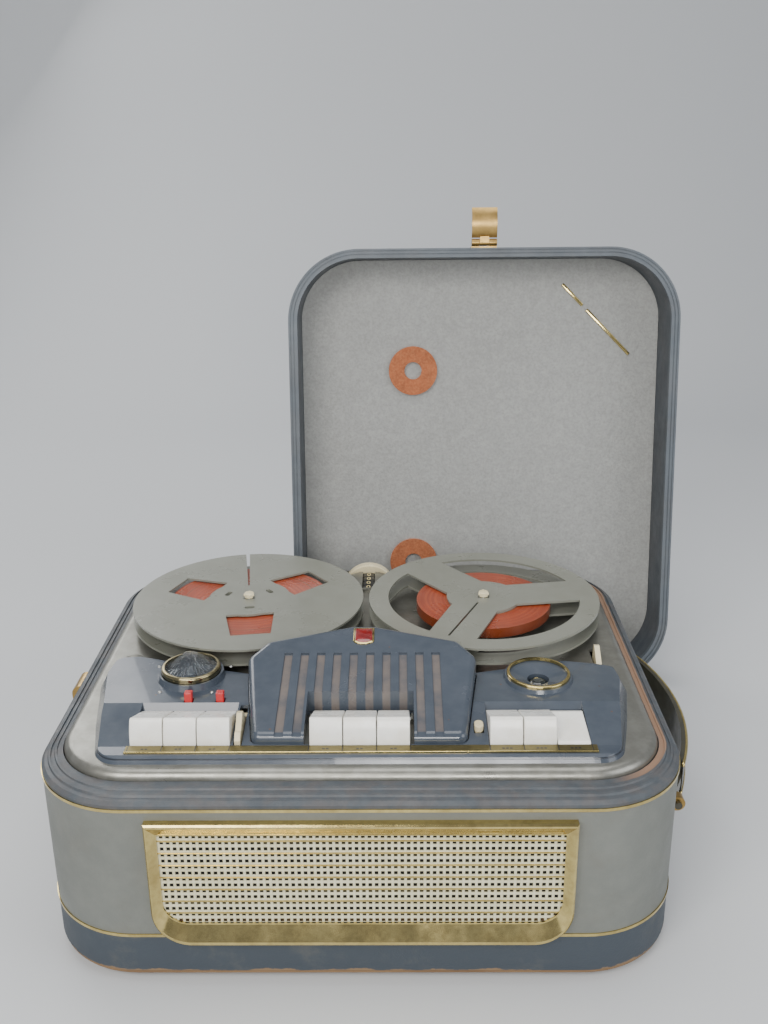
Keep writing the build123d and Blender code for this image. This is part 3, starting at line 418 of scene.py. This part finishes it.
def paint_materials():
    """Give every CAD node its material."""
    gold = brass("gold_trim", srgb(222, 202, 136), srgb(132, 110, 64), (0.08, 0.2))
    old_brass = brass("old_brass", srgb(188, 156, 96), srgb(112, 88, 50), (0.25, 0.45))
    deck_mid = (0.0, 0.00615)
    rim = rim_cloth("rim_cloth", deck_mid, (0.1915, 0.15635), 0.050, (0.150, 0.178))
    ivory = moulded("ivory_plastic", srgb(252, 251, 244), srgb(206, 190, 156), dots=0.025)
    cream = moulded("cream_plastic", srgb(226, 214, 176), srgb(180, 158, 112))
    dark = moulded("dark_plastic", srgb(26, 26, 27), srgb(52, 50, 46), (0.25, 0.4))
    blue = blue_plastic().mat
    bright = steel("turned_steel", srgb(188, 188, 184))
    looks = {
        "case_covering": covering_cloth(),
        "case_shell": plywood(),
        "brass_beads": gold,
        "grille_frame": gold,
        "knob_ring": brass("knob_brass", srgb(178, 166, 128), srgb(84, 76, 56), (0.12, 0.3)),
        "indicator_ring": gold,
        "label_strip": brass("strip_brass", srgb(134, 124, 84), srgb(88, 80, 54), (0.28, 0.45)),
        "rim_moulding": rim,
        "lid_rim": lid_cloth("lid_rim_cloth", srgb(92, 100, 107), srgb(76, 83, 90)),
        "lid_shell": lid_cloth("lid_shell_cloth", srgb(74, 81, 89), srgb(60, 66, 73)),
        "lid_lining": lid_lining_cloth(),
        "lid_reel_pads": felt(),
        "latch_hinge": old_brass,
        "latch_hasp": old_brass,
        "latch_keeper": old_brass,
        "handle_brackets": old_brass,
        "handle_strap": moulded("strap_plastic", srgb(52, 50, 38), srgb(88, 80, 52), (0.3, 0.5)),
        "deck_plate": deck_paint(),
        "control_panel": blue,
        "knob_dish": blue,
        "head_cover": cover_plastic(),
        "pause_lever": cream,
        "record_button": cream,
        "selector_lever": cream,
        "counter_wheel": cream,
        "counter_drums": dark,
        "socket_panel": dark,
        "red_button_left": moulded("red_plastic", srgb(196, 40, 42), srgb(140, 24, 26)),
        "knob_cone": clear_plastic(),
        "indicator_tube": dark_glass("tube_glass", srgb(16, 20, 18)),
        "valves": dark_glass("valve_glass", srgb(70, 74, 74)),
        "left_reel": reel_plastic(),
        "left_tape_pack": tape_winds("supply_tape", SUPPLY),
        "right_tape_pack": tape_winds("take_up_tape", TAKE_UP),
        "rubber_feet": rubber("black_rubber"),
        "pinch_roller": rubber("roller_rubber"),
        "drive_belt": rubber("belt_rubber"),
        "loudspeaker": moulded("speaker_enamel", srgb(44, 44, 42), srgb(70, 66, 58), (0.4, 0.6)),
        "mains_transformer": moulded("core_enamel", srgb(58, 54, 50), srgb(96, 76, 48), (0.4, 0.6)),
        "mechanism_plate": steel("plated_steel", srgb(170, 168, 150), (0.35, 0.5)),
        "motor": steel("motor_steel", srgb(150, 150, 146), (0.35, 0.5)),
    }
    looks["red_button_right"] = looks["red_button_left"]
    looks["right_reel"] = looks["left_reel"]
    for name, node in NODES.items():
        material = looks.get(name, ivory if name.startswith("key_") and name != "key_rods" else bright)
        node.data.materials.clear()
        node.data.materials.append(material)
    return {"gold": gold, "cream": cream, "dark": dark, "red": looks["red_button_left"], "bright": bright}


# ------------------------------------------------------------------ mesh building
def piece(name, bm, material, body):
    """Turn a bmesh in the row frame into a piece that rides on a CAD body."""
    bmesh.ops.recalc_face_normals(bm, faces=bm.faces)
    mesh = bpy.data.meshes.new(name)
    bm.to_mesh(mesh)
    bm.free()
    mesh.materials.append(material)
    obj = bpy.data.objects.new(name, mesh)
    bpy.context.scene.collection.objects.link(obj)
    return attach(obj, body)


def bevel(obj, width, segments=2):
    modifier = obj.modifiers.new("soft_edges", "BEVEL")
    modifier.width = width
    modifier.segments = segments
    modifier.limit_method = "ANGLE"
    modifier.angle_limit = math.radians(35)
    for polygon in obj.data.polygons:
        polygon.use_smooth = True
    return obj


def prism(bm, points, low, high, place=Matrix.Identity(4)):
    """Closed prism on a flat outline, from low to high along the local Z."""
    rings = []
    for level in (low, high):
        rings.append([bm.verts.new(place @ Vector((x, y, level))) for x, y in points])
    count = len(points)
    for index in range(count):
        after = (index + 1) % count
        bm.faces.new((rings[0][index], rings[0][after], rings[1][after], rings[1][index]))
    bm.faces.new(rings[0][::-1])
    bm.faces.new(rings[1])


def tube_along(bm, path, radius, sides=10):
    """Round bar through a list of points, closed at both ends."""
    rings = []
    for index, point in enumerate(path):
        before = path[max(index - 1, 0)]
        after = path[min(index + 1, len(path) - 1)]
        heading = (after - before).normalized()
        across = heading.cross(Vector((0, 0, 1)))
        if across.length < 0.1:
            across = heading.cross(Vector((0, 1, 0)))
        across.normalize()
        over = across.cross(heading)
        ring = []
        for step in range(sides):
            angle = 2 * math.pi * step / sides
            out = math.cos(angle) * across + math.sin(angle) * over
            ring.append(bm.verts.new(point + radius * out))
        rings.append(ring)
    for first, second in zip(rings, rings[1:]):
        for step in range(sides):
            after = (step + 1) % sides
            bm.faces.new((first[step], first[after], second[after], second[step]))
    bm.faces.new(rings[0][::-1])
    bm.faces.new(rings[-1])


def dome(bm, centre, radius, height, rings=5, sides=20):
    """Low round stud standing on a flat surface."""
    loops = []
    for level in range(rings):
        angle = math.pi / 2 * level / rings
        size = radius * math.cos(angle)
        rise = height * math.sin(angle)
        loops.append([bm.verts.new(centre + Vector((size * math.cos(2 * math.pi * s / sides),
                                                    size * math.sin(2 * math.pi * s / sides), rise)))
                      for s in range(sides)])
    top = bm.verts.new(centre + Vector((0, 0, height)))
    for first, second in zip(loops, loops[1:]):
        for step in range(sides):
            after = (step + 1) % sides
            bm.faces.new((first[step], first[after], second[after], second[step]))
    for step in range(sides):
        bm.faces.new((loops[-1][step], loops[-1][(step + 1) % sides], top))
    bm.faces.new(loops[0][::-1])


def block(bm, low, high):
    prism(bm, [(low[0], low[1]), (high[0], low[1]), (high[0], high[1]), (low[0], high[1])], low[2], high[2])


# ------------------------------------------------------------------ grille
GRID_X = 3.88 * MM
GRID_Z = 4.37 * MM
TOP_ROW = 107.8 * MM
ROWS = 15
CORNER = 12.0 * MM


def grille_reach(z, low):
    """How far in from the lattice's side its round bottom corner is at this height."""
    rise = z - low.z
    if rise >= CORNER:
        return 0.0
    return CORNER - math.sqrt(max(CORNER ** 2 - (CORNER - rise) ** 2, 0.0))


def lattice():
    """Cream basket lattice: two layers of rounded bars, with gold wires over every second gap."""
    low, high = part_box("grille_lattice")
    front = low.y
    bm = bmesh.new()
    bar = GRID_Z - 2.5 * MM
    for row in range(ROWS + 1):
        middle = TOP_ROW + GRID_Z / 2 - row * GRID_Z
        top = min(middle + bar / 2, high.z) if row else high.z
        bottom = max(middle - bar / 2, low.z) if row < ROWS else low.z
        z = (top + bottom) / 2
        inset = grille_reach(bottom, low)
        start = Vector((low.x + inset, front + 0.9 * MM, z))
        end = Vector((high.x - inset, front + 0.9 * MM, z))
        flat_bar(bm, start, end, top - bottom, 1.0 * MM)
    width = GRID_X - 2.2 * MM
    columns = int((high.x - low.x) / GRID_X) + 1
    first = low.x + width / 2
    for column in range(columns):
        x = first + column * GRID_X
        side = min(x - low.x, high.x - x)
        lift = 0.0
        if side < CORNER:
            lift = CORNER - math.sqrt(CORNER ** 2 - (CORNER - side) ** 2)
        start = Vector((x, front + 0.8 * MM, low.z + lift))
        end = Vector((x, front + 0.8 * MM, high.z))
        flat_bar(bm, start, end, width, 0.9 * MM)
    shade = Shade("lattice_cream", srgb(214, 209, 176), 0.42)
    shade.mottle(30.0, srgb(190, 182, 140), 0.5)
    shade.mottle(400.0, srgb(232, 228, 204), 0.4)
    shade.bump(shade.noise(900.0, 3.0, 0.6), 0.0001, 0.5)
    mesh = piece("lattice", bm, shade.roughness(70.0, 0.3, 0.5).mat, "case")
    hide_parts("grille_lattice")
    return front


def flat_bar(bm, start, end, width, depth):
    """Bar with a rounded front, lying in the grille's plane."""
    heading = (end - start).normalized()
    across = heading.cross(Vector((0, 1, 0))).normalized()
    section = [(-0.5, 0.5), (-0.5, -0.1), (-0.34, -0.42), (0.0, -0.5), (0.34, -0.42), (0.5, -0.1), (0.5, 0.5)]
    rings = []
    for point in (start, end):
        ring = [point + across * width * a + Vector((0, depth * b, 0)) for a, b in section]
        rings.append([bm.verts.new(corner) for corner in ring])
    count = len(section)
    for index in range(count):
        after = (index + 1) % count
        bm.faces.new((rings[0][index], rings[0][after], rings[1][after], rings[1][index]))
    bm.faces.new(rings[0][::-1])
    bm.faces.new(rings[1])


def grille_trim(gold, front):
    low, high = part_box("grille_lattice")
    bm = bmesh.new()
    for row in range(ROWS // 2):
        z = TOP_ROW - GRID_Z * (0.6 + 2 * row)
        inset = grille_reach(z, low)
        start = Vector((low.x + inset, front - 0.05 * MM, z))
        end = Vector((high.x - inset, front - 0.05 * MM, z))
        flat_bar(bm, start, end, 0.9 * MM, 0.8 * MM)
    piece("grille_wires", bm, gold, "case")
    bm = bmesh.new()
    count = 24
    back = front + 2.3 * MM
    rows = []
    for step in range(count + 1):
        x = low.x + (high.x - low.x) * step / count
        bulge = 0.5 * MM * math.sin(math.pi * step / count)
        rows.append([bm.verts.new((x, back + bulge, z)) for z in (low.z + CORNER * 0.3, high.z)])
    for first, second in zip(rows, rows[1:]):
        bm.faces.new((first[0], second[0], second[1], first[1]))
    cloth = piece("speaker_cloth", bm, speaker_cloth(), "case")
    solid = cloth.modifiers.new("thickness", "SOLIDIFY")
    solid.thickness = 0.4 * MM
    solid.offset = 1.0


# ------------------------------------------------------------------ deck trim
def on_cover(x, y):
    """Point on the head cover's sloping top, with the slope as a matrix."""
    z = COVER_TOP.z + (y - COVER_TOP.y) * COVER_SLOPE
    return Matrix.Translation((x, y, z)) @ Matrix.Rotation(math.atan(COVER_SLOPE), 4, "X")


def shield(width, length, count=14):
    """Flat top, straight sides and a rounded lower edge."""
    points = [(width / 2, length / 2), (-width / 2, length / 2)]
    for step in range(count + 1):
        angle = math.pi * (1 + step / count)
        points.append((width / 2 * math.cos(angle), -length * 0.28 + length * 0.22 * math.sin(angle)))
    return points


def badge(mats):
    place = on_cover(0.0008, -0.0265)
    bm = bmesh.new()
    prism(bm, shield(14.6 * MM, 18.0 * MM), -0.2 * MM, 0.9 * MM, place)
    bevel(piece("badge_surround", bm, mats["gold"], "case"), 0.4 * MM)
    bm = bmesh.new()
    prism(bm, shield(12.0 * MM, 15.4 * MM), 0.5 * MM, 1.25 * MM, place)
    shade = Shade("badge_enamel", srgb(140, 28, 26), 0.12, 0.0, 1.0)
    shade.mottle(160.0, srgb(92, 14, 14), 0.7)
    bevel(piece("badge_enamel", bm, shade.roughness(90.0, 0.08, 0.2).mat, "case"), 0.35 * MM)


def strip_marks(mats):
    """Key separators and short printed dashes on the label strip."""
    low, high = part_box("label_strip")
    bm = bmesh.new()
    face = high.z
    for group in ("left", "centre", "right"):
        for number in (1, 2, 3):
            key_low, key_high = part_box("key_" + group + "_" + str(number))
            middle = (key_low.x + key_high.x) / 2
            edges = [key_low.x - 0.3 * MM]
            if number == 3:
                edges.append(key_high.x + 0.3 * MM)
            for x in edges:
                block(bm, (x - 0.25 * MM, low.y + 0.8 * MM, face - 0.05 * MM),
                      (x + 0.25 * MM, high.y, face + 0.08 * MM))
            dashes = {"left": 2, "centre": 2, "right": 3}[group]
            for dash in range(dashes):
                x = middle + (dash - (dashes - 1) / 2) * 2.4 * MM
                block(bm, (x - 0.8 * MM, low.y + 3.4 * MM, face - 0.05 * MM),
                      (x + 0.8 * MM, low.y + 4.6 * MM, face + 0.06 * MM))
    piece("strip_marks", bm, mats["dark"], "case")
    bm = bmesh.new()
    block(bm, (low.x, low.y - 0.1 * MM, low.z), (high.x, low.y + 0.8 * MM, high.z + 0.5 * MM))
    bevel(piece("strip_lip", bm, mats["gold"], "case"), 0.3 * MM)


def panel_studs(mats):
    bm = bmesh.new()
    for angle in (-52, -128, 28, 152):
        reach = 28.5 * MM
        x = KNOB.x + reach * math.cos(math.radians(angle))
        y = KNOB.y + reach * math.sin(math.radians(angle))
        dome(bm, Vector((x, y, PANEL_TOP)), 1.5 * MM, 0.9 * MM)
    piece("panel_studs", bm, mats["bright"], "case")


def spindle_cap(name, centre, cream, body):
    """Cream splined cap that shows above the reel."""
    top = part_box(name.replace("_cap", "_turntable"))[1].z + 0.25 * MM
    points = []
    for step in range(72):
        angle = 2 * math.pi * step / 72
        spline = max(0.0, math.cos(3 * (angle - math.pi / 2))) ** 8
        reach = (3.75 + 1.0 * spline) * MM
        points.append((centre.x + reach * math.cos(angle), centre.y + reach * math.sin(angle)))
    bm = bmesh.new()
    prism(bm, points, REEL_TOP, top)
    bevel(piece(name, bm, cream, body), 0.5 * MM, 3)


def counter_digits():
    """Numerals 0 to 9 round each counter drum."""
    low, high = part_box("counter_drums")
    radius = high.z - COUNTER.z
    pitch = (high.y - low.y + 0.8 * MM) / 4
    shade = Shade("digit_paint", srgb(222, 206, 150), 0.5)
    shade.mottle(300.0, srgb(186, 164, 106), 0.5)
    shade.bump(shade.noise(900.0, 3.0, 0.6), 0.00005, 0.4)
    bm = bmesh.new()
    for number in range(10):
        text = bpy.data.curves.new("numeral", "FONT")
        text.body = str(number)
        text.size = 7.4 * MM
        text.align_x = "CENTER"
        text.align_y = "CENTER"
        text.extrude = 0.06 * MM
        source = bpy.data.objects.new("numeral", text)
        bpy.context.scene.collection.objects.link(source)
        bpy.context.view_layer.update()
        shape = bpy.data.meshes.new_from_object(source.evaluated_get(bpy.context.evaluated_depsgraph_get()))
        for drum in range(4):
            y = low.y - 0.4 * MM + pitch * (drum + 0.5)
            turn = Matrix.Rotation(math.radians(36 * number), 4, "Y")
            place = Matrix.Translation((COUNTER.x, y, COUNTER.z)) @ turn
            place = place @ Matrix.Translation((0, 0, radius + 0.02 * MM))
            copy = shape.copy()
            copy.transform(place)
            bm.from_mesh(copy)
            bpy.data.meshes.remove(copy)
        bpy.data.objects.remove(source)
        bpy.data.curves.remove(text)
        bpy.data.meshes.remove(shape)
    piece("counter_digits", bm, shade.mat, "counter")


# ------------------------------------------------------------------ lid and case trim
def in_lid(u, v, depth):
    """Point in the leaning lid: u across, v up it, depth behind its rim."""
    turn = Matrix.Rotation(math.pi / 2 - LID_LEAN, 4, "X")
    return Matrix.Translation(LID_FOOT) @ turn @ Matrix.Translation((u, v, -depth))


def lid_trim(mats):
    """Plain slanting brass trim on the lining, in two lengths."""
    bm = bmesh.new()
    start, end = Vector((75.5, 369.0)) * MM, Vector((138.4, 304.7)) * MM
    way = end - start
    side = Vector((way.y, -way.x)).normalized() * 1.5 * MM
    for first, last in ((0.0, 0.30), (0.36, 1.0)):
        a, b = start + way * first, start + way * last
        points = [tuple(corner) for corner in (a + side, b + side, b - side, a - side)]
        prism(bm, points, 0.0, 1.6 * MM, in_lid(0, 0, LID_LINING))
    bevel(piece("lid_trim", bm, mats["gold"], "lid"), 0.6 * MM, 3)


def handle_edges(gold):
    """Brass edging along both edges of the carrying strap."""
    low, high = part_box("handle_strap")
    axis_x = JOINTS["handle_swing"]["pos_m"][0]
    start = axis_x + 9.5 * MM
    half = 99.0 * MM
    sag = high.x - (axis_x + 0.5 * MM)
    radius = (half ** 2 + sag ** 2) / (2 * sag)
    centre = high.x - radius
    reach = math.acos((start - centre) / radius)
    bm = bmesh.new()
    for z in (low.z + 0.9 * MM, high.z - 0.9 * MM):
        path = []
        for step in range(41):
            angle = reach * (step / 20 - 1)
            size = radius - 0.4 * MM
            path.append(Vector((centre + size * math.cos(angle), size * math.sin(angle), z)))
        tube_along(bm, path, 1.2 * MM)
    edges = piece("handle_edges", bm, gold, "handle")
    for polygon in edges.data.polygons:
        polygon.use_smooth = True


def bracket_screws(mats):
    """Round-head screws in the handle brackets and the rear socket panel."""
    low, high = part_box("handle_brackets")
    bm = bmesh.new()
    for y in (low.y + 9 * MM, high.y - 9 * MM):
        for z in (low.z + 4.5 * MM, high.z - 4.5 * MM):
            head = Matrix.Translation((CASE_SIDE + 1.55 * MM, y, z)) @ Matrix.Rotation(math.pi / 2, 4, "Y")
            screw_head(bm, head, 2.6 * MM, 1.3 * MM)
    low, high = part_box("socket_panel")
    for x in (low.x + 5 * MM, high.x - 5 * MM):
        for z in (low.z + 5 * MM, high.z - 5 * MM):
            head = Matrix.Translation((x, high.y - 0.05 * MM, z)) @ Matrix.Rotation(-math.pi / 2, 4, "X")
            screw_head(bm, head, 2.6 * MM, 1.3 * MM)
    screws = piece("bracket_screws", bm, mats["bright"], "case")
    for polygon in screws.data.polygons:
        polygon.use_smooth = True


def screw_head(bm, place, radius, height):
    """Domed head built at the origin and then moved to its place."""
    start = len(bm.verts)
    dome(bm, Vector((0, 0, 0)), radius, height)
    bm.verts.ensure_lookup_table()
    for vert in bm.verts[start:]:
        vert.co = place @ vert.co


# ------------------------------------------------------------------ stage
def floor():
    bm = bmesh.new()
    size, rise = 4.0, 2.6
    profile = [(-size, 0.0), (PAPER_BACK, 0.0)]
    for step in range(1, 13):
        angle = math.pi / 2 * step / 12
        profile.append((PAPER_BACK + PAPER_RISE * math.sin(angle), PAPER_RISE - PAPER_RISE * math.cos(angle)))
    profile.append((PAPER_BACK + PAPER_RISE, rise))
    rows = [[bm.verts.new((x, y, z)) for x in (-size, size)] for y, z in profile]
    for first, second in zip(rows, rows[1:]):
        bm.faces.new((first[0], first[1], second[1], second[0]))
    mesh = bpy.data.meshes.new("floor")
    bm.to_mesh(mesh)
    bm.free()
    obj = bpy.data.objects.new("floor", mesh)
    bpy.context.scene.collection.objects.link(obj)
    for polygon in mesh.polygons:
        polygon.use_smooth = True
    shade = Shade("floor_paper", srgb(205, 207, 208), 0.85)
    mesh.materials.append(shade.mat)


def area_light(name, place, target, size, power, colour=(1.0, 1.0, 1.0)):
    light = bpy.data.lights.new(name, "AREA")
    light.shape = "RECTANGLE"
    light.size, light.size_y = size
    light.energy = power
    light.color = colour
    obj = bpy.data.objects.new(name, light)
    obj.location = place
    obj.rotation_euler = (Vector(target) - Vector(place)).to_track_quat("-Z", "Y").to_euler()
    bpy.context.scene.collection.objects.link(obj)


def studio():
    world = bpy.data.worlds.new("studio")
    world.use_nodes = True
    background = world.node_tree.nodes["Background"]
    background.inputs["Color"].default_value = (0.86, 0.90, 1.0, 1.0)
    background.inputs["Strength"].default_value = 0.34
    bpy.context.scene.world = world
    middle = (0.0, 0.0, 0.15)
    area_light("key", (-0.55, -1.25, 1.15), middle, (0.9, 0.7), 19.0, (1.0, 0.98, 0.95))
    area_light("front", (0.15, -1.5, 0.65), middle, (0.5, 0.35), 9.0, (1.0, 0.99, 0.97))
    area_light("fill", (1.2, -0.7, 0.8), middle, (0.9, 0.9), 7.0, (0.95, 0.97, 1.0))
    area_light("top", (0.0, 0.15, 1.6), middle, (1.3, 1.0), 12.0)
    area_light("back", (-0.9, 1.2, 1.0), (0.1, 0.2, 0.2), (0.9, 0.7), 8.0)


def camera():
    yaw, pitch, roll = 0.0140, 0.3512, -0.0111
    forward = Vector((-math.sin(yaw) * math.cos(pitch), math.cos(yaw) * math.cos(pitch), -math.sin(pitch)))
    right = Vector((math.cos(yaw), math.sin(yaw), 0.0))
    up = right.cross(forward)
    right, up = (right * math.cos(roll) + up * math.sin(roll), up * math.cos(roll) - right * math.sin(roll))
    data = bpy.data.cameras.new("camera")
    data.sensor_width = 36.0
    data.lens = 37.7
    data.clip_start, data.clip_end = 0.01, 30.0
    obj = bpy.data.objects.new("camera", data)
    obj.matrix_world = Matrix((
        (right.x, up.x, -forward.x, 0.0253),
        (right.y, up.y, -forward.y, -0.7027),
        (right.z, up.z, -forward.z, 0.5070),
        (0.0, 0.0, 0.0, 1.0)))
    bpy.context.scene.collection.objects.link(obj)
    bpy.context.scene.camera = obj


# ------------------------------------------------------------------ build
camera()
studio()
floor()
materials = paint_materials()
grille_front = lattice()
grille_trim(materials["gold"], grille_front)
badge(materials)
strip_marks(materials)
panel_studs(materials)
spindle_cap("left_cap", SUPPLY, materials["cream"], "supply_reel")
spindle_cap("right_cap", TAKE_UP, materials["cream"], "take_up_reel")
counter_digits()
lid_trim(materials)
handle_edges(materials["gold"])
bracket_screws(materials)
